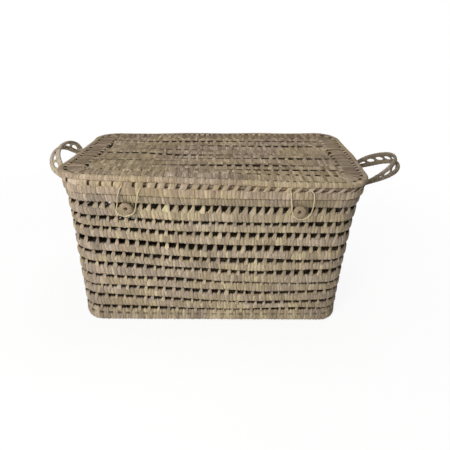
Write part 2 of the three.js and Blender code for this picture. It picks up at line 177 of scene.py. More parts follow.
# The corner at the back and left, squarer than the others: how much, and where it begins and ends
BACK_CORNER = 10.0
BACK_CORNER_X = (-235.0, -300.0)
BACK_CORNER_Y = (100.0, 167.0)


def corners(node):
    """Lowest and highest corner of a CAD node, in mm."""
    low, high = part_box(node)
    return np.array(low) / MM, np.array(high) / MM


def share(value, start, end):
    """How far a value is on the way from start to end, from 0 to 1."""
    return np.clip((value - start) / (end - start), 0.0, 1.0)


def lean(xyz):
    """Gives points the slight lean of the hand-coiled trunk; the floor stays flat."""
    x, y, z = xyz[..., 0], xyz[..., 1], xyz[..., 2]
    along = x / LEAN_LENGTH
    right, left = share(along, 0.0, 1.0), share(along, 0.0, -1.0)
    front = share(y, LEAN_DEPTH, -LEAN_DEPTH)
    height = share(z, 0.0, WALL_TOP)
    lid = share(z, WALL_TOP, LID_TOP)
    rise = sum(LEAN[j][i] * height ** (j + 1) * along ** i for j in range(3) for i in range(4))
    droop = LID_DROOP + LID_TIP * along + LEFT_DROOP * left ** 1.3
    bow = share(y, -BOW_DEPTH, 0.0) * height ** 3
    wider_right = front * (RIGHT_TOP * height ** 6 + RIGHT_LID * lid + RIGHT_FOOT * (1 - height) ** 4)
    wider_left = LEFT_ALL + (0.1 + 0.9 * front) * (LEFT_TOP * height ** 6 + LEFT_LID * lid)
    wider_left -= LEFT_BACK * (1 - front) * lid
    corner = BACK_CORNER * share(x, *BACK_CORNER_X) * share(y, *BACK_CORNER_Y) * height ** 3
    moved = xyz.copy()
    moved[..., 0] += bow * (RIGHT_BOW * right + LEFT_BOW * left)
    moved[..., 0] += wider_right * right ** 2 - wider_left * left ** 2 - corner
    moved[..., 1] += corner
    moved[..., 2] += front * (rise - lid * droop) + (1 - front) * lid * BACK_TIP * along
    return moved


def join(*values):
    """Values side by side, such as the coordinates of points."""
    return np.stack(np.broadcast_arrays(*values), -1)


def turns(count):
    """Angles of even steps round a circle."""
    return np.linspace(0, ROUND, count, endpoint=False)


def add_object(name, data):
    """Puts a new object in the scene."""
    obj = bpy.data.objects.new(name, data)
    bpy.context.scene.collection.objects.link(obj)
    return obj


# Meshes of strips and twine

class Mesh:
    """Gathers tubes of points and turns them into one Blender object."""

    def __init__(self):
        self.layers, self.quads, self.tris = [], [], []
        self.size = 0

    def add(self, points, grain, tone, closed=True, flip=False):
        """Adds a tube, rows of points along it and columns round it, with each point's grain and tone."""
        rows, columns = points.shape[:2]
        r, c = np.meshgrid(np.arange(rows if closed else rows - 1), np.arange(columns), indexing="ij")
        r2, c2 = (r + 1) % rows, (c + 1) % columns
        quads = join(r * columns + c, r2 * columns + c, r2 * columns + c2, r * columns + c2).reshape(-1, 4)
        fan = join(0, np.arange(1, columns - 1), np.arange(2, columns))
        caps = fan[:0] if closed else np.concatenate([fan, fan[:, ::-1] + (rows - 1) * columns])
        order = -1 if flip else 1
        self.quads.append(quads[:, ::order] + self.size)
        self.tris.append(caps[:, ::order] + self.size)
        self.layers.append([values.reshape(-1, 3) for values in (points, grain, tone)])
        self.size += rows * columns

    def build(self, name, material, move=lean):
        """Makes the object, with its points moved."""
        points, grain, tone = (np.concatenate(values) for values in zip(*self.layers))
        points = move(points) if move else points
        points[:, 2] = np.maximum(points[:, 2], 0.0)
        quads, tris = (np.concatenate(faces).astype(np.int32) for faces in (self.quads, self.tris))
        mesh = bpy.data.meshes.new(name)
        mesh.vertices.add(len(points))
        mesh.vertices.foreach_set("co", (points * MM).astype(np.float32).ravel())
        mesh.loops.add(quads.size + tris.size)
        mesh.loops.foreach_set("vertex_index", np.concatenate([quads.ravel(), tris.ravel()]))
        starts = np.concatenate([np.arange(len(quads)) * 4, quads.size + np.arange(len(tris)) * 3])
        mesh.polygons.add(len(starts))
        mesh.polygons.foreach_set("loop_start", starts.astype(np.int32))
        mesh.update(calc_edges=True)
        mesh.polygons.foreach_set("use_smooth", np.ones(len(starts), dtype=bool))
        for layer, values in (("leaf_grain", grain), ("leaf_tone", tone)):
            made = mesh.attributes.new(layer, "FLOAT_VECTOR", "POINT")
            made.data.foreach_set("vector", values.astype(np.float32).ravel())
        mesh.validate()
        mesh.materials.append(material)
        return add_object(name, mesh)


def section(half_out, half_up, power, count):
    """Rounded section of a coil: out, up, its normals and the way round it."""
    turn = turns(count)
    c, s = np.cos(turn), np.sin(turn)
    out = half_out * np.sign(c) * np.abs(c) ** (2 / power)
    up = half_up * np.sign(s) * np.abs(s) ** (2 / power)
    n_out = np.sign(c) * np.abs(c) ** (2 - 2 / power) / half_out
    n_up = np.sign(s) * np.abs(s) ** (2 - 2 / power) / half_up
    norm = np.hypot(n_out, n_up)
    step = np.hypot(np.diff(out, append=out[0]), np.diff(up, append=up[0]))
    way = np.concatenate([[0], np.cumsum(step)[:-1]])
    return out, up, n_out / norm, n_up / norm, way


# Where the points lie across a strip, and how its back is crowned there
ACROSS = np.array([0.04, 0.16, 0.38, 0.62, 0.84, 0.96])
CROWN = np.array([-1.0, -0.2, 0.3, 0.3, -0.1, -0.9])
# How uneven strips are: their widths, crowns, tilts and heights
UNEVEN_WIDTH = (0.7, 1.3)
UNEVEN_CROWN = (0.75, 1.2)
UNEVEN_TILT = (-0.4, 0.4)
UNEVEN_HEIGHT = 0.2


def wrap(mesh, place, length, shape, strip, rng, closed=True, slant=0.0, fan=1.0, crown=1.0, tint=0.0,
         shade=None, hues=(0.0, 1.0), spread=0.24):
    """
    A bundle wrapped with leaf strips, side by side along it. They lean by slant, and by fan at random. Tint
    moves their tone, which spreads at random, and shade gives the parts where shade is painted.
    """
    count = max(4, round(length / strip))
    width = rng.uniform(*UNEVEN_WIDTH, count)
    width *= length / width.sum()
    start = np.concatenate([[0], np.cumsum(width)[:-1]])
    tint = tint(start) if callable(tint) else tint
    edge = slant + rng.normal(0, fan, count + 1)
    edge[-1] = edge[0]
    across = np.tile(ACROSS, count)
    owner = np.repeat(np.arange(count), len(ACROSS))
    u = start[owner] + width[owner] * across
    tilt = rng.uniform(*UNEVEN_TILT, count)[owner] * (across - 0.5)
    height = crown * np.tile(CROWN, count) * rng.uniform(*UNEVEN_CROWN, count)[owner]
    height = height + crown * (rng.normal(0, UNEVEN_HEIGHT, count)[owner] + tilt)
    out, up, n_out, n_up, way = shape
    lift = up / np.abs(up).max()
    turn = edge[owner] * (1 - across) + edge[owner + 1] * across
    points = place(
        u[:, None] + turn[:, None] * lift,
        out + height[:, None] * n_out,
        up + height[:, None] * n_up,
    )
    seed = rng.uniform(0, 1, count)[owner]
    grain = join(across[:, None], way, seed[:, None])
    tone = np.zeros_like(points)
    tone[:, :, 0] = np.clip(rng.normal(0.5 + tint, spread, count), 0, 1)[owner][:, None]
    tone[:, :, 1] = rng.uniform(*hues, count)[owner][:, None]
    if shade is not None:
        tone[:, :, 2] = shade(u[:, None], out, up)
    mesh.add(points, grain, tone, closed)


def ribbons(mesh, stations, edge, thickness, rng, tint=0.0, sides=8, shade=0.0):
    """Leaf stitches; edge gives the left side, -1, or the right side, 1, of all of them at a station."""
    left, right = (np.stack([edge(side, *station) for station in stations], 1) for side in (-1, 1))
    centre, half = (left + right) / 2, (right - left) / 2
    along = np.gradient(centre, axis=1)
    normal = np.cross(along, half)
    normal /= np.linalg.norm(normal, axis=-1, keepdims=True) + 1e-9
    normal = normal * thickness / 2
    turn = turns(sides)[:, None]
    points = centre[:, :, None] + half[:, :, None] * np.cos(turn) + normal[:, :, None] * np.sin(turn)
    number, rows = points.shape[:2]
    way = np.cumsum(np.linalg.norm(along, axis=-1), axis=1)
    tones = np.clip(rng.normal(0.55 + tint, 0.16, number), 0, 1)
    hues = rng.uniform(0, 1, number)
    seeds = rng.uniform(0, 1, number)
    across = (np.cos(turn[:, 0]) + 1) / 2
    for k in range(number):
        grain = join(across, way[k][:, None], seeds[k])
        tone = join(tones[k], hues[k], shade + np.zeros((rows, sides)))
        mesh.add(points[k], grain, tone, closed=False, flip=True)


def way_along(points):
    """Distance along a line at each of its points."""
    return np.concatenate([[0], np.cumsum(np.linalg.norm(np.diff(points, axis=0), axis=1))])


def at_way(u, way, rows):
    """Rows of values along a line, such as its points, taken at the distances u."""
    return np.stack([np.interp(u, way, column) for column in rows.T], -1)


def even_steps(points, steps, endpoint=True):
    """Points at even steps along a line."""
    way = way_along(points)
    return at_way(np.linspace(0, way[-1], steps, endpoint=endpoint), way, points)


class Loop:
    """Rounded rectangle in plan, walked from the front's middle towards +X."""

    def __init__(self, half_x, half_y, radius, arc=24):
        front = (0.0, -half_y, 0.0, -1.0)
        rows = [front]
        for sx, sy, first in ((1, -1, -90), (1, 1, 0), (-1, 1, 90), (-1, -1, 180)):
            for step in range(arc + 1):
                a = math.radians(first + 90 * step / arc)
                nx, ny = math.cos(a), math.sin(a)
                x, y = sx * (half_x - radius) + radius * nx, sy * (half_y - radius) + radius * ny
                rows.append((x, y, nx, ny))
        self.rows = np.array(rows + [front])
        self.way = way_along(self.rows[:, :2])
        self.length = self.way[-1]

    def at(self, u):
        """Place and outward normal at the distances u: x, y, nx and ny."""
        u = np.mod(u, self.length)
        return [np.interp(u, self.way, column) for column in self.rows.T]

    def point(self, u, out, z):
        """Points at the distances u, out from the line, at height z."""
        x, y, nx, ny = self.at(u)
        return join(x + nx * out, y + ny * out, z)


def on_loop(loop, z_mid, rng, wave):
    """Place of a coil's points: along the loop, out from its middle line and up, slightly uneven."""
    waves = rng.integers(3, 12, 4)
    phase = rng.uniform(0, ROUND, 4)

    def place(u, out, up):
        swing = [np.sin(waves[i] * ROUND * u / loop.length + phase[i]) for i in range(4)]
        out = out + wave * (swing[0] + 0.6 * swing[1])
        up = up + wave * (swing[2] + 0.6 * swing[3])
        return loop.point(u, out, z_mid + up)

    return place


class Curve:
    """A line through points with a frame that doesn't twist."""

    def __init__(self, points, reference, closed=False):
        points = np.asarray(points, float)
        if closed:
            points = np.concatenate([points, points[:1]])
        self.points = points
        self.way = way_along(points)
        self.length = self.way[-1]
        tangent = np.gradient(points, self.way, axis=0)
        if closed:
            tangent[0] = tangent[-1] = points[1] - points[-2]
        tangent /= np.linalg.norm(tangent, axis=1, keepdims=True)
        normals = []
        normal = np.array(reference, float)
        for t in tangent:
            normal = normal - t * (normal @ t)
            normal /= np.linalg.norm(normal)
            normals.append(normal.copy())
        self.out = np.array(normals)
        self.up = np.cross(self.out, tangent)

    def at(self, u, out, up):
        """Points at the distances u, out and up from the line."""
        points, n_out, n_up = (at_way(u, self.way, rows) for rows in (self.points, self.out, self.up))
        return points + n_out * out[..., None] + n_up * up[..., None]


def smooth(points, steps):
    """Points on a smooth line through the given ones, evenly spaced."""
    p = np.asarray(points, float)
    p = np.concatenate([2 * p[:1] - p[1:2], p, 2 * p[-1:] - p[-2:-1]])
    t = np.linspace(0, 1, 12, endpoint=False)[:, None]
    fine = []
    for a, b, c, d in zip(p, p[1:], p[2:], p[3:]):
        fine.append(0.5 * (2 * b + (c - a) * t + (2 * a - 5 * b + 4 * c - d) * t ** 2
                           + (3 * b - a - 3 * c + d) * t ** 3))
    return even_steps(np.concatenate(fine + [p[-2:-1]]), steps)


# Depth of the groove between the two plies of twine, as a share of its radius
PLY_GROOVE = 0.26


def twine(mesh, points, diameter, reference, lay=4.5, closed=False, around=12):
    """Two-ply twine along points, which turns once in lay diameters. Gives its middle line."""
    curve = Curve(points, reference, closed)
    u = np.linspace(0, curve.length, len(points), endpoint=not closed)[:, None]
    turn = turns(around)
    lobe = np.abs(np.cos(turn - ROUND * u / (lay * diameter)))
    radius = diameter / 2 * (1 - PLY_GROOVE + PLY_GROOVE * lobe ** 0.7)
    u = np.repeat(u, around, 1)
    points = curve.at(u, radius * np.cos(turn), radius * np.sin(turn))
    grain = join(lobe * 0.5 + 0.25, u, 0.5)
    # Painted shade: the tone is darker towards the groove between the two plies
    tone = join(0.35 + 0.4 * lobe, 0.5, 0.0)
    mesh.add(points, grain, tone, closed)
    return curve


def knot(mesh, at, radius, depth, lobe, diameter):
    """A closed trefoil of twine, which reads as a knot."""
    a = turns(60)
    x, y = radius * (np.sin(a) + lobe * np.sin(2 * a)), -depth * np.sin(3 * a)
    z = radius * (np.cos(a) - lobe * np.cos(2 * a))
    twine(mesh, join(x, y, z) + at, diameter, (0, 1, 0.1), lay=3.0, closed=True, around=8)


# Materials

class Nodes:
    """Builds the nodes of a material or world; most methods add one node and give its output."""

    def __init__(self, owner):
        owner.use_nodes = True
        self.tree = owner.node_tree

    def fill(self, node, inputs):
        """Links outputs to a node's inputs, given by name or number, or sets them to numbers or colours."""
        for key, value in inputs.items():
            if isinstance(value, bpy.types.NodeSocket):
                self.tree.links.new(value, node.inputs[key])
            else:
                node.inputs[key].default_value = value
        return node

    def add(self, kind, inputs=None, **settings):
        """Adds a shader node with its settings and inputs."""
        node = self.tree.nodes.new("ShaderNode" + kind)
        for key, value in settings.items():
            setattr(node, key, value)
        return self.fill(node, inputs or {})

    def surface(self, inputs):
        """Fills the material's shader."""
        return self.fill(self.tree.nodes["Principled BSDF"], inputs)

    def math(self, operation, *values):
        return self.add("Math", dict(enumerate(values)), operation=operation).outputs[0]

    def times(self, a, b):
        return self.math("MULTIPLY", a, b)

    def mix(self, kind, factor, a, b):
        inputs = {0: factor, 6: a, 7: b}
        return self.add("Mix", inputs, data_type="RGBA", blend_type=kind).outputs[2]

    def scaled(self, colour, factor):
        inputs = {0: colour, "Scale": factor}
        return self.add("VectorMath", inputs, operation="SCALE").outputs[0]

    def ranged(self, value, span, to=(0.0, 1.0)):
        """A value of one span moved to another."""
        inputs = {"Value": value, "From Min": span[0], "From Max": span[1], "To Min": to[0], "To Max": to[1]}
        return self.add("MapRange", inputs).outputs[0]

    def noise(self, at, scale, detail, roughness=0.5):
        inputs = {"Vector": at, "Scale": scale, "Detail": detail, "Roughness": roughness}
        return self.add("TexNoise", inputs).outputs["Fac"]

    def ramp(self, value, stops):
        """Colour ramp; each stop has its place and colour."""
        node = self.add("ValToRGB", {0: value})
        elements = node.color_ramp.elements
        first, *between, last = stops
        for element, (place, colour) in ((elements[0], first), (elements[1], last)):
            element.position = place
            element.color = colour
        for place, colour in between:
            elements.new(place).color = colour
        return node.outputs[0]

    def coordinates(self, kind):
        return self.add("TexCoord").outputs[kind]

    def split(self, vector):
        return self.add("SeparateXYZ", {0: vector}).outputs

    def layer(self, name):
        """The three values that the points carry under a name."""
        return self.split(self.add("Attribute", attribute_name=name).outputs["Vector"])

    def bump(self, height, strength, distance):
        inputs = {"Height": height, "Strength": strength, "Distance": distance}
        return self.add("Bump", inputs).outputs[0]


def srgb(hexa):
    """Linear colour of an sRGB hex code."""
    parts = [int(hexa[i:i + 2], 16) / 255 for i in (0, 2, 4)]
    return tuple(p / 12.92 if p <= 0.04045 else ((p + 0.055) / 1.055) ** 2.4 for p in parts) + (1.0,)


# Leaf is greyish, pinkish, plain, yellowish or greenish
LEAF_TINTS = (
    (0.16, (0.812, 0.822, 0.925, 1)),
    (0.34, (0.825, 0.82, 0.885, 1)),
    (0.52, (0.83, 0.83, 0.83, 1)),
    (0.7, (0.85, 0.847, 0.79, 1)),
    (0.86, (0.828, 0.85, 0.81, 1)),
)
# Dark brown of painted shade
PAINTED_SHADE_BROWN = srgb("180b04")
# Patches of tint and blotches to the metre
LEAF_PATCHES = (9.0, 9.0, 34.0)
LEAF_BLOTCHES = 14.0


def leaf(name, dark, middle, light, roughness=0.62, line=0.6, streak=0.5, fibre=7.0, patchy=1.0):
    """Dry palm leaf: each strip has its own tone, streaks along it and a dark line of painted shade at its
    edges; each point's shade value paints more shade over it.
    """
    material = bpy.data.materials.new(name)
    nodes = Nodes(material)
    across, along, seed = nodes.layer("leaf_grain")
    # The third value is each point's share of painted shade
    tone, hue, shade_share = nodes.layer("leaf_tone")
    where = nodes.coordinates("Object")
    # Strips are greyer, pinker, yellower or greener than others, in patches along a row
    stretched = nodes.add("Mapping", {"Vector": where, "Scale": LEAF_PATCHES}).outputs[0]
    patch = nodes.ranged(nodes.noise(stretched, 1.0, 1.0), (0.35, 0.65))
    hue = nodes.math("ADD", nodes.times(hue, 0.4 * patchy), nodes.times(patch, 0.6 * patchy))
    hue = nodes.math("ADD", hue, 0.5 - 0.5 * patchy)
    plain = nodes.ramp(tone, ((0.0, srgb(dark)), (0.5, srgb(middle)), (1.0, srgb(light))))
    colour = nodes.mix("MULTIPLY", 1.0, plain, nodes.ramp(hue, LEAF_TINTS))
    # Streaks along the strip
    place = {0: nodes.times(across, fibre), 1: nodes.times(along, 0.05), 2: nodes.times(seed, 91.0)}
    streaks = nodes.noise(nodes.add("CombineXYZ", place).outputs[0], 1.0, 3.0, 0.6)
    level = nodes.ranged(streaks, (0.3, 0.7), (1 - streak, 1 + streak * 0.5))
    # Blotches over several strips
    blotches = nodes.ranged(nodes.noise(where, LEAF_BLOTCHES, 2.0), (0.3, 0.7), (1.04, 1.32))
    # Painted shade: a dark line at both edges of the strip, where strips meet, stronger on some than on
    # others
    depth = nodes.times(nodes.math("FRACT", nodes.times(seed, 7.3)), 0.9 * line)
    depth = nodes.math("ADD", depth, 0.4 * line)
    off = nodes.times(nodes.math("ABSOLUTE", nodes.math("SUBTRACT", across, 0.5)), 2.0)
    edges = nodes.math("SUBTRACT", 1.0, nodes.times(nodes.math("POWER", off, 9.0), depth))
    colour = nodes.scaled(colour, nodes.times(nodes.times(level, blotches), edges))
    # Painted shade: the colour goes towards a dark brown by each point's shade value, where little light
    # falls
    painted_shading = nodes.mix("MIX", nodes.times(shade_share, 0.98), colour, PAINTED_SHADE_BROWN)
    nodes.surface({
        "Base Color": painted_shading,
        "Roughness": nodes.ranged(streaks, (0.0, 1.0), (roughness - 0.1, roughness + 0.15)),
        "Normal": nodes.bump(streaks, 0.5, 0.0006),
        "Specular IOR Level": 0.3,
    })
    return material


def button_wood():
    """Turned wood with growth rings and a dull wax."""
    material = bpy.data.materials.new("button_wood")
    nodes = Nodes(material)
    where = nodes.coordinates("Object")
    inputs = {"Vector": where, "Scale": 90.0, "Distortion": 6.0, "Detail": 3.0, "Detail Scale": 1.5}
    rings = nodes.add("TexWave", inputs, wave_type="RINGS", rings_direction="Y").outputs["Fac"]
    colour = nodes.ramp(rings, ((0.0, srgb("7f6d54")), (1.0, srgb("a59278"))))
    specks = nodes.ranged(nodes.noise(where, 420.0, 4.0), (0.3, 0.7), (0.8, 1.1))
    nodes.surface({
        "Base Color": nodes.scaled(colour, specks),
        "Normal": nodes.bump(rings, 0.4, 0.0004),
        "Roughness": 0.5,
    })
    return material


wall_leaf = leaf("wall_leaf", "968771", "b1a086", "cbbc9d", line=1.0, fibre=5.0, patchy=0.75)
rim_leaf = leaf("rim_leaf", "97856c", "af9c7f", "c8b497", roughness=0.48, line=0.5, fibre=4.5)
lid_leaf = leaf("lid_leaf", "776650", "9c8a70", "c0ae92", line=1.0, streak=0.6, fibre=4.0, patchy=0.65)
base_leaf = leaf("base_leaf", "94836c", "ab9b81", "c4b498")
handle_leaf = leaf("handle_leaf", "867965", "a2957e", "bbae99")
twine_leaf = leaf("twine", "b3a27a", "cdbf99", "e0d5b6", line=0.2, streak=0.2)
stalk_leaf = leaf("stalk_twine", "4b3a24", "5f4c31", "77623f", line=0.2, streak=0.2)
wood = button_wood()


def done(obj, body, slot, *nodes):
    """Puts a finished piece on its body and hides the CAD nodes that it stands for; slot is not used."""
    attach(obj, body)
    if nodes:
        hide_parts(*nodes)
    return obj


# Basket wall: wrapped coils

COIL_COUNT = 10
COIL_HALF = 7.0
COIL_RISE = 8.0
COIL_WAVE = 0.5
COIL_SEED = 100
CORNER_OUT = 58.0
LID_HALF_X = corners("lid_rim")[1][0]
# Groove of the lowest coil, and the dashes in it
GROOVE_AT = 1.95
GROOVE_DEPTH = 1.6
GROOVE_PITCH = 19.0


def coil_name(k):
    """CAD node of a coil, counted from the base up."""
    return "base_border" if k == 0 else f"wall_coil_{k:02d}"


def loop_in(name, half, grow=0.0):
    """Middle line of a ring that fills a CAD node, made larger by grow."""
    high_x, high_y = corners(name)[1][:2] + grow
    return Loop(high_x - half, high_y - half, CORNER_OUT - (LID_HALF_X - high_x) - half)


loops = [loop_in(coil_name(k), COIL_HALF) for k in range(COIL_COUNT + 1)]
ROW_MIDDLE = [
    (corners(coil_name(COIL_COUNT - row))[0][2] + corners(coil_name(COIL_COUNT - row - 1))[1][2]) / 2 + shift
    for row, shift in enumerate(ROW_SHIFT)
]


def open_row(row, x, y):
    """Lower and upper edge of an open row; it runs even at the sides, and lower at the back."""
    front, back = share(-y, *WALL_TURN), share(y, *WALL_TURN)
    mean = sum(ROW_OPEN[row]) / len(ROW_X)
    even = mean * np.interp(x, SIDE_X, SIDE_OPEN)
    closed = mean * (BACK_SHUT if row < LIT_ROWS else BACK_SHUT_LOW) * back
    height = even - closed + front * (np.interp(x, ROW_X, ROW_OPEN[row]) - even)
    middle = ROW_MIDDLE[row] + front * np.interp(x, ROW_X, ROW_STRAY[row])
    return middle - height / 2, middle + height / 2


def on_coil(k, rng):
    """Place of a wall coil's points between the open rows below and above it."""
    low, high = corners(coil_name(k))
    base = on_loop(loops[k], 0.0, rng, COIL_WAVE if k else 0.0)

    def place(u, out, up):
        x, y = loops[k].at(u)[:2]
        bottom = open_row(COIL_COUNT - k, x, y)[1] if k > 0 else low[2]
        top = open_row(COIL_COUNT - 1 - k, x, y)[0] if k < COIL_COUNT else high[2]
        return base(u, out, (bottom + top) / 2 + up * (top - bottom) / 2 / COIL_RISE)

    return place


def in_groove(up, width):
    """How near a point of the lowest coil is to its groove, from 0 to 1."""
    return np.exp(-((up - GROOVE_AT) / width) ** 2)


def groove_dashes(u, up):
    """Painted shade: dark dashes in the groove of the lowest coil, strongest at the front's left."""
    x, y = loops[0].at(u)[:2]
    dash = np.clip(0.6 + 1.6 * np.sin(ROUND * u / GROOVE_PITCH), 0, 1)
    strong = np.where((x < -185) & (y < 0), 1.0, 0.65)
    return 0.95 * dash * strong * in_groove(up, 1.4)


def coil_shade(k):
    """Painted shade of a coil: dark where it looks into an open row, and inside, more so towards the base."""
    deep = np.interp(k, (0, COIL_COUNT), (0.8, 0.12))

    def shade(u, out, up):
        within = share(out, 4.2, 1.7)
        facing = share(np.abs(up) / COIL_RISE, 0.75, 0.9) * share(out, -6.0, -3.0)
        dark = within * np.maximum(deep, 0.9 * facing)
        return dark if k else np.maximum(dark, groove_dashes(u, up))

    return shade


def end_tint(x):
    """Tone of the wall's strips: darker towards both ends, painted shade where the wall turns from the light.
    """
    return np.interp(np.abs(x), (170, 260), (0.0, -0.22))


def coil_tint(k):
    """Tone of a coil's strips, with painted shade at the ends; the top coil also has painted shade under the
    lid's skirt, darker towards the right.
    """
    def tint(u):
        x = loops[k].at(u)[0]
        top = np.interp(x, (-200, 0), (-0.05, -0.5)) if k == COIL_COUNT else 0.0
        return np.minimum(top, end_tint(x))

    return tint


def wall_coil(k):
    """One wrapped coil; the lowest has a groove."""
    rng = default_rng(COIL_SEED + k)
    out, up, *rest = section(COIL_HALF - 0.3, COIL_RISE, 3.2, 26 if k else 60)
    if k == 0:
        out = out - np.sign(out) * GROOVE_DEPTH * in_groove(up, 1.3)
    made = Mesh()
    wrap(made, on_coil(k, rng), loops[k].length, (out, up, *rest), WALL_STRIP, rng, slant=-0.8, fan=1.1,
         crown=0.7, tint=coil_tint(k), shade=coil_shade(k))
    done(made.build(coil_name(k) + "_leaf", wall_leaf), "basket", "wall_leaf", coil_name(k))


for k in range(COIL_COUNT + 1):
    wall_coil(k)

# Lacing of the wall

LACING_SEED = 300
LACING_THICK = 1.2
# Painted shade at each station of a stitch: dark where it goes into the open row and behind the coil above
LACING_SHADE = np.array([0, 0, 0, 0, 0.05, 0.45, 0.8, 0.8])


def wall_lacing(row):
    """Stitches that rise from a coil, cross the open row and go behind the coil above."""
    upper = COIL_COUNT - row
    rng = default_rng(LACING_SEED + row)
    loop = loops[upper]
    count = round(loop.length / ROW_PITCH[row])
    at = (np.arange(count) + rng.uniform(0, 1)) * loop.length / count + rng.normal(0, 1.3, count)
    x, y = loop.at(at)[:2]
    foot, head = open_row(row, x, y)
    height = head - foot
    shut = np.clip(rng.normal(0.0, 1.4, count), -2.0, 4.0)
    wide = ROW_FLARE[row] * height
    # Left edge, right edge, out from the coil's middle line, up
    stations = (
        (-1.8 - wide * 0.5, 1.8, 4.6, foot - 6.0),
        (-2.4 - wide * 0.8, 2.4, 5.6, foot - 3.6),
        (-3.0 - wide, 3.0, 5.8, foot - 1.4),
        (-3.0 - wide * 0.95, 3.0, 5.2, foot + 0.4),
        (-2.8 - wide * 0.42, 2.7, 4.2, foot + height * 0.5),
        (-2.5, 2.2, 2.2, head + 0.3),
        (-2.5, 2.5, -2.0, head + 3.0),
        (-2.4, 2.4, -5.6, head + 7.0),
    )

    def edge(side, start, end, out, up):
        return loop.point(at + (start - shut if side < 0 else end + rng.normal(0, 0.3, count)), out, up)

    made = Mesh()
    ribbons(made, stations, edge, LACING_THICK, rng, tint=end_tint(x) - 0.02, shade=LACING_SHADE[:, None])
    name = f"wall_lacing_{upper:02d}"
    done(made.build(name + "_leaf", wall_leaf), "basket", "wall_leaf", name)


for row in range(COIL_COUNT):
    wall_lacing(row)

# Base and lid: flat wrapped rows

PANEL_ROWS = range(1, 12)
BASE_SEED = 500
LID_ROW_SEED = 620
STILL_SEAM = ((0.3,) * len(SEAM_X), NO_SEAM)


def panel_row(name, material, strip, seed, seams=(STILL_SEAM, STILL_SEAM), around=20, crown=1.0,
              trim=(0.0, 0.0), painted_shading=0.0):
    """A flat wrapped row with a seam in front and one behind; trim is how far its ends may fall short, and
    its top can take a share of painted shade.
    """
    low, high = corners(name)
    rng = default_rng(seed)
    front, back = seams
    half = (high[1] - low[1]) / 2
    length = high[0] - low[0]
    shape = section(half, (high[2] - low[2]) / 2 - 0.5, 6.0, around)
    crest = shape[1].max()
    ends = rng.uniform(0.1, 1.0, 2) * np.array(trim)
    hue = rng.uniform(0.1, 0.6)

    def opened(x, seam):
        return SEAM_WIDEN * np.interp(x, SEAM_X, seam[0])

    def stray(x, seam):
        return np.interp(x, SEAM_X, seam[1])

    def place(u, out, up):
        x = low[0] + ends[0] + u * (1 - ends.sum() / length)
        near = low[1] + stray(x, front) + opened(x, front) / 2
        far = high[1] + stray(x, back) - opened(x, back) / 2
        return join(x, (near + far) / 2 - out * (far - near) / 2 / half, (low[2] + high[2]) / 2 + up)

    # Painted shade on the sides of a slit that opens, below the top, and on the top by the given share
    def dark(u, out, up):
        x = low[0] + u
        wide = np.where(out > 0, opened(x, front), opened(x, back))
        deep = share(up, crest - 0.4, crest - 1.4) * share(np.abs(out) / half, 0.8, 0.95)
        return np.maximum(0.95 * deep * share(wide, 0.6, 4.1) ** 0.7, painted_shading * (up > 0))

    made = Mesh()
    wrap(made, place, length, shape, strip, rng, closed=False, fan=0.9, crown=crown, shade=dark,
         hues=(hue, hue + 0.3), spread=0.22)
    return made.build(name + "_leaf", material)


# The base rows' tops take painted shade
for k in PANEL_ROWS:
    name = f"base_row_{k:02d}"
    obj = panel_row(name, base_leaf, BASE_STRIP, BASE_SEED + k, around=12, crown=0.5, painted_shading=0.4)
    done(obj, "basket", "wall_leaf", name)

# Lid: rim, border and skirt

RIM_HALF = 6.5
BORDER_HALF = 17.0
BORDER_GROW = 7.0
SKIRT_HALF = 7.0


def lid_ring(name, half, strip, power, material, slot, seed, fan, crown, wave, seam=0.3, shade=None, grow=0.0,
             hues=(0.0, 1.0), tint=0.0, side_shade=0.0):
    """A wrapped ring of the lid; its side tint, a painted shade, is added to its tone along the short sides
    and the back.
    """
    low, high = corners(name)
    loop = loop_in(name, half, grow)
    rng = default_rng(seed)

    def tone(u):
        return tint + side_shade * share(loop.at(u)[1] + high[1], 12.0, 32.0)

    made = Mesh()
    place = on_loop(loop, (low[2] + high[2]) / 2, rng, wave)
    shape = section(half - seam, (high[2] - low[2]) / 2, power, 26)
    wrap(made, place, loop.length, shape, strip, rng, fan=fan, crown=crown, tint=tone, shade=shade, hues=hues)
    done(made.build(name + "_leaf", material), "lid", slot, name)
    return loop


def rim_inner_shade(u, out, up):
    """Painted shade on the rim's inner side, above the border."""
    return 0.8 * share(out, -3.0, -5.0) * share(up, -2.0, 0.0)


def border_edge_shade(u, out, up):
    """Painted shade on the border's two edges, below its top."""
    return 0.95 * share(up, 3.9, 2.9) * share(np.abs(out), 12.0, 14.0)


lid_ring("lid_rim", RIM_HALF, RIM_STRIP, 2.6, rim_leaf, "rim_leaf", seed=601, fan=0.8, crown=0.55, wave=0.5,
         shade=rim_inner_shade, hues=(0.4, 0.8), side_shade=-0.75)
border_loop = lid_ring("lid_border", BORDER_HALF, LID_STRIP, 5.0, lid_leaf, "lid_leaf", seed=602, fan=1.0,
                       crown=0.5, wave=0.3, seam=2.8, shade=border_edge_shade, grow=BORDER_GROW, hues=(0.0, 0.5),
                       tint=0.1, side_shade=-0.42)
skirt_loop = lid_ring("lid_skirt", SKIRT_HALF, SKIRT_STRIP, 4.5, rim_leaf, "rim_leaf", seed=603, fan=0.5,
                      crown=0.7, wave=0.4, hues=(0.3, 0.8))

for k in PANEL_ROWS:
    name = f"lid_row_{k:02d}"
    seams = [(SEAM_OPEN[i], SEAM_STRAY[i]) for i in (k - 1, k)]
    obj = panel_row(name, lid_leaf, LID_STRIP, LID_ROW_SEED + k, seams, crown=0.4, trim=(10.0, 8.0))
    done(obj, "lid", "lid_leaf", name)

# Stitches over the lid's slits and seams

STITCH_PITCH = 19.0
STITCH_THICK = 1.6
STITCH_END = 8.0
STITCH_SEED = 650
# Stitches are only where a slit opens further than this
STITCH_OPEN = 1.5
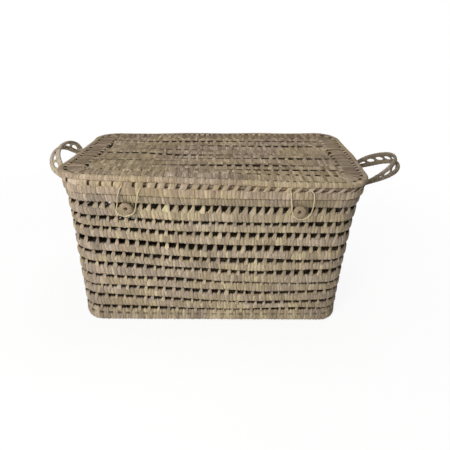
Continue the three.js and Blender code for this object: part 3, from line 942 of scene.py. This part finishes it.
# Back from the seam, up from the top, share of the bend, share of the half width
STITCH_STATIONS = (
    (-7.0, -3.0, -1.0, 1.3),
    (-4.5, -1.2, -0.6, 1.5),
    (-2.0, -0.6, -0.2, 1.05),
    (0.0, -0.6, 0.0, 0.85),
    (2.0, -0.9, 0.3, 1.05),
    (4.5, -3.4, 0.6, 1.5),
)
# Inwards from the seam, up from the top
RING_STITCH_STATIONS = ((-6.0, -3.0), (-3.5, -0.9), (0.0, -0.2), (2.5, -0.8), (5.0, -3.4))


def row_stitches(mesh, k, rng):
    """Stitches over the slit behind a row of the lid."""
    low, high = corners(f"lid_row_{k:02d}")
    count = round((high[0] - low[0]) / STITCH_PITCH)
    at = np.linspace(low[0] + STITCH_END, high[0] - STITCH_END, count) + rng.normal(0, 2.0, count)
    at = at[np.interp(at, SEAM_X, SEAM_OPEN[k]) > STITCH_OPEN]
    if len(at) == 0:
        return
    seam = high[1] + np.interp(at, SEAM_X, SEAM_STRAY[k])
    half = rng.uniform(2.4, 3.5, len(at))
    bend = rng.normal(0, 1.2, len(at))

    def edge(side, back, up, swing, wide):
        return join(at + side * half * wide + bend * swing, seam + back, high[2] + up)

    ribbons(mesh, STITCH_STATIONS, edge, STITCH_THICK, rng, tint=-0.05)


def ring_stitches(mesh, loop, offset, top, pitch, half_width, seed, widest=1.15):
    """Stitches over the seam beside a ring, from the ring's outside inwards."""
    rng = default_rng(seed)
    count = round(loop.length / pitch)
    at = np.arange(count) * loop.length / count + rng.normal(0, 1.0, count)
    half = rng.uniform(0.8, widest, count) * half_width

    def edge(side, inward, up):
        return loop.point(at - side * half, offset - inward, top + up)

    ribbons(mesh, RING_STITCH_STATIONS, edge, STITCH_THICK, rng)


def lid_stitches():
    """All stitches on the lid's top."""
    made = Mesh()
    rng = default_rng(STITCH_SEED)
    for k in PANEL_ROWS[:-1]:
        row_stitches(made, k, rng)
    top = corners("lid_border")[1][2]
    ring_stitches(made, border_loop, BORDER_HALF, top, 13.0, 4.6, STITCH_SEED + 1)
    ring_stitches(made, border_loop, -BORDER_HALF, top, STITCH_PITCH, 5.6, STITCH_SEED + 2, 1.6)
    done(made.build("lid_stitches", lid_leaf), "lid", "lid_leaf")


lid_stitches()

# Lacing row between skirt and rim

TWIST_PITCH = 20.0
TWIST_THICK = 2.2
TWIST_SEED = 670
# At these x: how far a strip leans, and its half width
TWIST_X = (-200, -60, 60, 260)
TWIST_SWAY = (3.0, 8.0, 10.0, 17.0)
TWIST_HALF = (9.9, 8.2, 7.0, 5.8)
BUNDLE_HALF = 2.4


def lid_lacing():
    """Twisted strips, upright at the left and leaning at the right, over a wrapped bundle."""
    rng = default_rng(TWIST_SEED)
    loop = skirt_loop
    bottom, top = corners("lid_skirt")[1][2], corners("lid_rim")[0][2]
    count = round(loop.length / TWIST_PITCH)
    at = np.arange(count) * loop.length / count + rng.normal(0, 1.2, count)
    x = loop.at(at)[0]
    leaning = share(x, TWIST_X[0], TWIST_X[1])
    sway = np.interp(x, TWIST_X, TWIST_SWAY)
    half = np.interp(x, TWIST_X, TWIST_HALF) * rng.uniform(0.94, 1.06, count)
    # Share of the way up, out from the skirt's middle line, up
    stations = (
        (0.0, 3.0, bottom - 4.0),
        (0.12, 5.4, bottom - 0.5),
        (0.35, 6.8, bottom + 3.2),
        (0.65, 6.4, top - 3.2),
        (0.88, 4.6, top + 0.5),
        (1.0, 1.0, top + 4.0),
    )

    def edge(side, f, out, up):
        belly = math.sin(math.pi * f)
        middle = at + sway * (f - 0.5) - 3.0 * (1 - leaning) * belly
        return loop.point(middle + side * half * (1 - 0.2 * leaning * belly), out, up)

    made = Mesh()
    ribbons(made, stations, edge, TWIST_THICK, rng, tint=0.05)
    shape = section(BUNDLE_HALF, (top - bottom) / 2 - 0.2, 3.0, 14)

    # Painted shade on the bundle seen between the strips: darker all over, and more so towards its top and
    # bottom edges
    def deep(u, out, up):
        return 0.75 * share(np.abs(up) / shape[1].max(), 0.35, 0.85)

    place = on_loop(loop, (top + bottom) / 2, rng, 0.2)
    wrap(made, place, loop.length, shape, BUNDLE_STRIP, rng, fan=0.6, crown=0.4, tint=-0.3, shade=deep)
    done(made.build("lid_lacing_leaf", rim_leaf), "lid", "rim_leaf", "lid_lacing")


lid_lacing()

# Handles: edge bundles, slanted cross strips and eyes

HANDLE_AT = (284.4, 0.0, 265.0)
HANDLE_NECK = 30.0
HANDLE_SPREAD = 10.0
NECK_SPREAD = 1.7
# The back leg is spread in full where the arch has risen by this share
BACK_RISE = 0.6
EYE_RADIUS = 14.25
EYE_CORD = 3.9
EYE_POINTS = 40
CROSS_THICK = 2.4
CROSS_SLANT = 8.0
# Where a cross strip has its stations, from one edge bundle, at -1, to the other
CROSS_STATIONS = (-1.06, -0.85, -0.6, -0.42, -0.2, 0.0, 0.2, 0.42, 0.6, 0.85, 1.06)


def eased(start, end, count):
    """Turns from start to end, in half a turn, closer together at the legs."""
    return math.pi * (0.5 - 0.5 * np.cos(np.linspace(start, end, count)))


def cross_strips(mesh, line, strips, rng, tint):
    """Slanted strips from edge to edge, at even steps along the arch."""
    fine = eased(0.02, math.pi - 0.02, 400)
    way = way_along(line(fine, 0))
    steps = np.linspace(0, way[-1], strips + 2)[1:-1]

    def edge(side, f):
        half = (steps[1] - steps[0]) * (0.17 + 0.35 * min(1, abs(f) / 0.66) ** 2)
        where = np.clip(steps + CROSS_SLANT * f + side * half, 0, way[-1])
        return line(np.interp(where, way, fine), f)

    ribbons(mesh, [(f,) for f in CROSS_STATIONS], edge, CROSS_THICK, rng, tint=tint)


def eye(mesh, y, rng, tint):
    """The eye at the end of a leg, which goes round the coil."""
    a = turns(EYE_POINTS)
    ring = join(EYE_RADIUS * np.cos(a), y, EYE_RADIUS * np.sin(a))
    curve = Curve(ring, (1, 0, 0), closed=True)
    half = EYE_CORD / 2 - 0.1
    wrap(mesh, curve.at, curve.length, section(half, half, 2.0, 10), EYE_STRIP, rng, slant=1.2, fan=0.4,
         crown=0.3, tint=tint)


def handle(side, sign, bulge, reach, tilt, span, middle, skew, power, pinch, narrow, lift, strips, tint,
           seed):
    """
    An arch of the given reach and tilt, seated further out than in CAD by bulge. Its legs stand span apart
    round the middle, closer at the root by pinch, and its crown strays by skew along Y. Power says how square
    it is, narrow how long its front leg stays thin and closed, and lift raises that leg's root.
    """
    rng = default_rng(seed)

    def line(t, edge):
        rise = np.maximum(np.sin(t), 0.0)
        in_front = sign * np.cos(t) > 0
        opened = np.minimum(1, rise / np.where(in_front, narrow, BACK_RISE))
        apart = span / 2 * (1 - pinch * np.maximum(0, 1 - rise / 0.15) ** 2)
        spread = NECK_SPREAD + (HANDLE_SPREAD - NECK_SPREAD) * opened ** 2 * (3 - 2 * opened)
        along = middle - sign * apart * np.cos(t) + skew * rise
        raised = lift * np.where(in_front, np.maximum(0, 1 - rise / 0.9) ** 2, 0.0)
        return join(HANDLE_NECK + (reach - HANDLE_NECK) * rise ** power, sign * along, edge * spread + raised)

    made = Mesh()
    legs = line(np.array([0.0, math.pi]), 0)[:, 1]
    for edge in (-1, 1):
        ends = [np.array([[EYE_RADIUS, y, edge * NECK_SPREAD]]) for y in legs]
        curve = Curve(np.concatenate([ends[0], line(eased(0, math.pi, 90), edge), ends[1]]), (0, 0, edge))

        def place(u, out, up):
            # The front leg is thin at its root
            from_root = u if sign > 0 else curve.length - u
            thick = np.interp(from_root, (20.0, 20.0 + 90.0 * narrow), (1.3 - 0.9 * narrow, 1.0))
            return curve.at(u, out * thick, up * thick)

        wrap(made, place, curve.length, section(5.4, 3.2, 2.4, 14), HANDLE_STRIP, rng, closed=False,
             slant=2.2, fan=0.5, crown=0.45, tint=tint)
    cross_strips(made, line, strips, rng, tint)
    for y in legs:
        eye(made, y, rng, tint)
    tilted = Matrix.Rotation(math.radians(-sign * tilt), 3, "Y")
    turned = np.array(tilted @ Matrix.Rotation(math.pi if sign < 0 else 0.0, 3, "Z"))
    seat = np.array([sign * (HANDLE_AT[0] + bulge), HANDLE_AT[1], HANDLE_AT[2]])

    def stand(points):
        return points @ turned.T + seat

    name = f"{side}_handle"
    done(made.build(name + "_leaf", handle_leaf, stand), name, "handle_leaf", name)


# Tint: painted light makes the left handle lighter and painted shade makes the right one darker, as the lamp
# is at the left
handle("left", -1, bulge=-1.0, reach=104.0, tilt=51.0, span=150.0, middle=13.0, skew=6.0, power=0.5,
       pinch=0.25, narrow=0.5, lift=0.0, strips=10, tint=0.35, seed=701)
handle("right", 1, bulge=7.0, reach=142.5, tilt=32.0, span=119.0, middle=18.5, skew=-18.5, power=0.75,
       pinch=0.0, narrow=0.97, lift=7.0, strips=12, tint=-0.5, seed=702)

# Buttons: turned discs with a hole, and the twine that holds them

BUTTON_SHARE = 0.88
BUTTON_HOLE = 2.1
STALK_TWINE = 3.2
STALK_KNOT_FRONT = 4.2
STALK_KNOT_BACK = 9.0


def lathe(mesh, profile, centre, steps=64):
    """Adds a closed turned form about the Y axis; its profile runs radius, y."""
    radius, along = np.array(profile, float).T[:, :, None]
    a = turns(steps)
    points = join(radius * np.cos(a), along, radius * np.sin(a)) + centre
    blank = np.zeros_like(points)
    mesh.add(points, blank, blank, flip=True)


def button(side, shift):
    """A button, moved by shift from its CAD place, and its stalk with a knot at either end."""
    name = f"button_{side}"
    low, high = corners(name)
    x, _, z = (low + high) / 2 + shift
    deep = high[1] - low[1]
    radius = (high[0] - low[0]) / 2 * BUTTON_SHARE
    # From the back hole outwards and round to the front hole
    profile = (
        (BUTTON_HOLE, deep), (radius * 0.6, deep), (radius - 3.2, deep - 0.3), (radius - 1.4, deep - 1.6),
        (radius - 0.4, deep - 3.2), (radius, 3.4), (radius - 0.3, 2.2), (radius - 1.4, 1.2),
        (radius - 2.8, 0.7), (radius * 0.66, 0.35), (radius * 0.5, 0.15), (5.2, 0.0), (4.3, 0.2), (3.4, 1.6),
        (2.4, 3.2), (BUTTON_HOLE, 4.2),
    )
    made = Mesh()
    lathe(made, profile, (x, low[1], z))
    done(made.build(name + "_turned", wood), "basket", "button_wood", name)
    stalk = f"button_stalk_{side}"
    low, high = corners(stalk)
    made = Mesh()
    line = join(x, np.linspace(low[1] + 1.0, high[1] - 1.0, 40), z)
    twine(made, line, STALK_TWINE, (1, 0, 0), lay=2.5)
    for y, size in ((low[1] + 1.9, STALK_KNOT_FRONT), (high[1] - STALK_KNOT_BACK / 2, STALK_KNOT_BACK)):
        depth = 0.248 * size
        knot(made, (x, y, z), depth / 1.3, depth, 0.6, 0.38 * size)
    done(made.build(stalk + "_twine", stalk_leaf), "basket", "twine", stalk)


button("left", (-2.7, 0.0, -1.3))
button("right", (-3.0, 0.0, 2.5))

# Hinge ties: a loop of twine round the lid's skirt and the top coil

TIE_RADIUS = 6.0
TIE_POINTS = 160


def hinge_tie(side):
    """One tie, a rounded rectangle of twine."""
    name = f"hinge_tie_{side}"
    low, high = corners(name)
    x, y, z = (low + high) / 2
    thick = high[0] - low[0]
    half_y, half_z = (high[1:] - low[1:] - thick) / 2 - TIE_RADIUS
    route = []
    for sy, sz, first in ((1, 1, 0), (-1, 1, 90), (-1, -1, 180), (1, -1, 270)):
        for step in range(7):
            a = math.radians(first + 90 * step / 6)
            out, up = TIE_RADIUS * math.cos(a), TIE_RADIUS * math.sin(a)
            route.append((x, y + sy * half_y + out, z + sz * half_z + up))
    made = Mesh()
    twine(made, even_steps(np.array(route + route[:1]), TIE_POINTS, False), thick, (1, 0, 0), closed=True)
    obj = made.build(name + "_twine", twine_leaf)
    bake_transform(obj)
    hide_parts(name)


for side in ("left", "centre", "right"):
    hinge_tie(side)

# Closure loops: across and up from the middle of the CAD button, from knot to knot

LOOP_TWINE = 2.4
LOOP_PLANE = -164.8
LOOP_KNOT_Y = -159.0
LOOP_POINTS = 260
LEFT_ROUTE = (
    (-4, 51.7), (-9.5, 44), (-12.1, 36.9), (-14.4, 30), (-16.5, 23), (-17.8, 15), (-18.6, 6), (-20.6, -1),
    (-21.8, -7.5), (-20.3, -13), (-16, -17.6), (-10, -20), (-4, -20), (2, -18), (8.3, -13.8), (13, -7),
    (15.4, 2), (17, 10.6), (18.8, 20.6), (20.9, 30), (24.3, 40), (31, 51.7),
)
RIGHT_ROUTE = (
    (-26, 51.7), (-23.5, 44), (-22.6, 33), (-20.6, 21.3), (-18.6, 11.5), (-17.2, 1.3), (-12.6, -8), (-4, -13),
    (4.3, -14.7), (11.6, -12), (18.5, -6.2), (21.7, 5), (21.9, 18.4), (21.7, 33), (19, 44), (12, 51.7),
)


def closure_loop(side, route):
    """A loop of twine whose ends are knotted in the lid's lacing row; its knots are put on the lid."""
    x, _, z = sum(corners(f"button_{side}")) / 2
    depth = [LOOP_KNOT_Y] + [LOOP_PLANE] * (len(route) - 2) + [LOOP_KNOT_Y]
    line = [(x + across, y, z + up) for (across, up), y in zip(route, depth)]
    line = lean(smooth(line, LOOP_POINTS))
    made = Mesh()
    curve = twine(made, line, LOOP_TWINE, (0, 1, 0))
    obj = made.build(f"{side}_loop_twine", twine_leaf, None)
    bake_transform(obj)
    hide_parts(f"{side}_loop")
    knots = Mesh()
    for end in (line[0], line[-1]):
        knot(knots, end, radius=0.75, depth=1.4, lobe=2, diameter=2.0)
    tied = done(knots.build(f"{side}_loop_knots", twine_leaf, None), "lid", "twine")


closure_loop("left", LEFT_ROUTE)
closure_loop("right", RIGHT_ROUTE)

# Floor and backdrop: plain white, with the object's shadow

FLOOR_HALF = 6.0


def floor_white():
    """White that shows the object's shadow, and is plain white to the camera further off."""
    material = bpy.data.materials.new("floor_white")
    nodes = Nodes(material)
    shader = nodes.surface({"Base Color": (0.95, 0.95, 0.95, 1), "Roughness": 0.9})
    glow = nodes.add("Emission", {"Strength": 1.0})
    seen = nodes.add("LightPath").outputs["Is Camera Ray"]
    away = nodes.add("VectorMath", {0: nodes.coordinates("Object")}, operation="LENGTH")
    plain = nodes.times(seen, nodes.ranged(away.outputs["Value"], (0.4, 1.2), (0.9, 1.0)))
    both = nodes.add("MixShader", {0: plain, 1: shader.outputs[0], 2: glow.outputs[0]})
    nodes.fill(nodes.tree.nodes["Material Output"], {"Surface": both.outputs[0]})
    return material


floor_mesh = bpy.data.meshes.new("floor")
floor_corners = [(x * FLOOR_HALF, y * FLOOR_HALF, 0) for x, y in ((-1, -1), (1, -1), (1, 1), (-1, 1))]
floor_mesh.from_pydata(floor_corners, [], [(0, 1, 2, 3)])
floor_mesh.materials.append(floor_white())
floor = add_object("floor", floor_mesh)


# World and lamps: soft white fill that is stronger from the left, white where the camera sees it

def studio():
    """The world's light."""
    world = bpy.data.worlds.new("studio")
    bpy.context.scene.world = world
    nodes = Nodes(world)
    from_left = nodes.split(nodes.coordinates("Generated"))[0]
    strength = nodes.ranged(from_left, (-1.0, 0.6), (0.39, 0.03))
    fill = nodes.fill(nodes.tree.nodes["Background"], {"Color": (1.0, 1.0, 1.0, 1), "Strength": strength})
    white = nodes.add("Background", {"Color": (1.0, 1.0, 1.0, 1), "Strength": 1.0})
    seen = nodes.add("LightPath").outputs["Is Camera Ray"]
    both = nodes.add("MixShader", {0: seen, 1: fill.outputs[0], 2: white.outputs[0]})
    nodes.fill(nodes.tree.nodes["World Output"], {"Surface": both.outputs[0]})


def lamp(name, at, aim, size, power, colour):
    """A round soft lamp, in metres and watts."""
    light = bpy.data.lights.new(name, "AREA")
    light.shape = "DISK"
    light.size = size
    light.energy = power
    light.color = colour
    obj = add_object(name, light)
    obj.location = at
    obj.rotation_euler = (Vector(aim) - Vector(at)).to_track_quat("-Z", "Y").to_euler()


studio()
lamp("key", (-1.0, -1.6, 1.2), (0, 0, 0.2), 1.0, 34.5, (1.0, 0.98, 0.96))
lamp("top", (0.3, 0.4, 2.4), (0, 0, 0.3), 1.5, 26.0, (1.0, 1.0, 1.0))

# Camera

yaw, pitch, roll = (math.radians(v) for v in (CAMERA_YAW, CAMERA_PITCH, CAMERA_ROLL))
forward = np.array([math.sin(yaw) * math.cos(pitch), math.cos(yaw) * math.cos(pitch), -math.sin(pitch)])
level = np.array([math.cos(yaw), -math.sin(yaw), 0.0])
upright = np.cross(level, forward)
camera_data = bpy.data.cameras.new("camera")
camera_data.sensor_width = CAMERA_SENSOR
camera_data.sensor_fit = "HORIZONTAL"
camera_data.lens = CAMERA_LENS
camera_data.clip_end = 50.0
camera = add_object("camera", camera_data)
stand = np.eye(4)
stand[:3, 0] = level * math.cos(roll) + upright * math.sin(roll)
stand[:3, 1] = upright * math.cos(roll) - level * math.sin(roll)
stand[:3, 2] = -forward
stand[:3, 3] = np.array(CAMERA_AT) * MM
camera.matrix_world = Matrix(stand.tolist())
bpy.context.scene.camera = camera
bpy.context.scene.view_settings.view_transform = "Standard"
